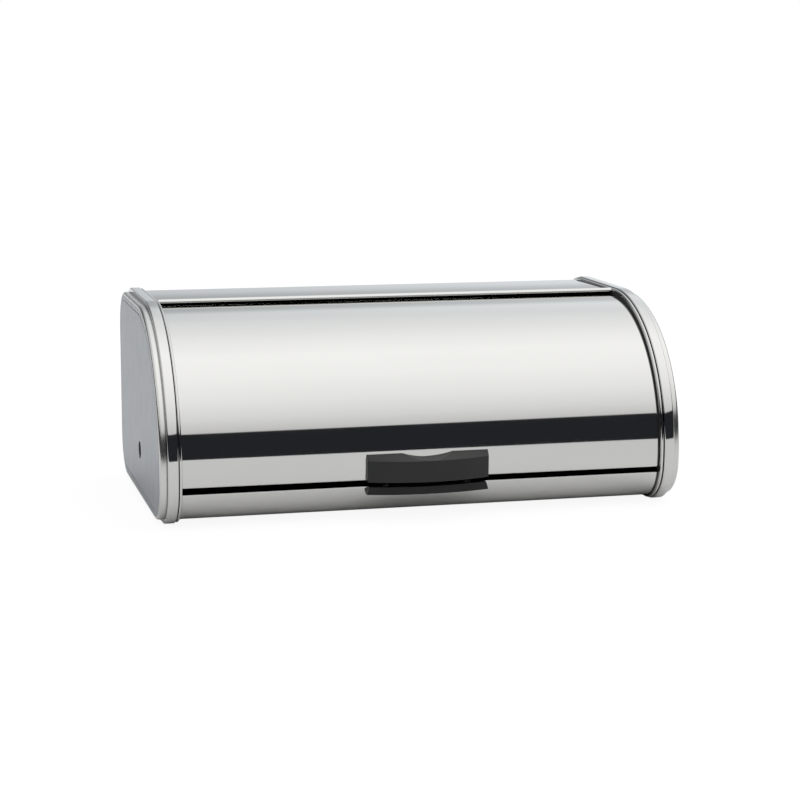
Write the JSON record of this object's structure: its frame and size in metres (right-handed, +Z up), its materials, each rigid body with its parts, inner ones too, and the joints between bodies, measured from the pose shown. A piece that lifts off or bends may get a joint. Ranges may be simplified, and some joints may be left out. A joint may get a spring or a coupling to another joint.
{
  "type": "roll-top bread box",
  "caption": "Bread box whose curved steel lid turns up and back about end pivots, disappearing under a flat top panel.",
  "frame": {"origin": "middle of the base, on the surface that the foot pads stand on", "axes": "+X along the box to its right end, +Y to its back, +Z up"},
  "size_m": [0.446, 0.2656, 0.1745],
  "materials": {
    "polished_steel": "mirror-polished stainless steel with a faint grain",
    "cap_steel": "polished rim round a satin pressed face",
    "seam_steel": "polished bead",
    "grip_plastic": "fine-textured black moulding",
    "liner_plastic": "black moulding, textured",
    "bush_plastic": "natural acetal",
    "arm_steel": "satin stamping",
    "fastener_steel": "bright zinc plate",
    "rubber": "matt black rubber"
  },
  "bodies": {
    "box": {"back_left_foot_pad": "rubber", "back_right_foot_pad": "rubber", "body_wrap": "polished_steel", "floor_panel": "liner_plastic", "front_left_foot_pad": "rubber", "front_lip": "grip_plastic", "front_right_foot_pad": "rubber", "left_cap_screws": "fastener_steel", "left_closed_buffer": "rubber", "left_end_cap": "cap_steel", "left_inner_panel": "liner_plastic", "left_open_buffer": "rubber", "left_pivot_bush": "bush_plastic", "left_seam_ring": "seam_steel", "lip_screws": "fastener_steel", "lip_washers": "fastener_steel", "right_cap_screws": "fastener_steel", "right_closed_buffer": "rubber", "right_end_cap": "cap_steel", "right_inner_panel": "liner_plastic", "right_open_buffer": "rubber", "right_pivot_bush": "bush_plastic", "right_seam_ring": "seam_steel"},
    "lid": {"handle_screws": "fastener_steel", "handle_washers": "fastener_steel", "left_lid_arm": "arm_steel", "left_pivot_clip": "fastener_steel", "left_pivot_pin": "fastener_steel", "lid_handle": "grip_plastic", "lid_sheet": "polished_steel", "right_lid_arm": "arm_steel", "right_pivot_clip": "fastener_steel", "right_pivot_pin": "fastener_steel"}
  },
  "joints": [
    {"name": "lid_roll", "type": "hinge", "parent": "box", "child": "lid", "pos_m": [0, 0.002, 0.0475], "axis": [-1, 0, 0], "range_deg": [0, 80]}
  ]
}
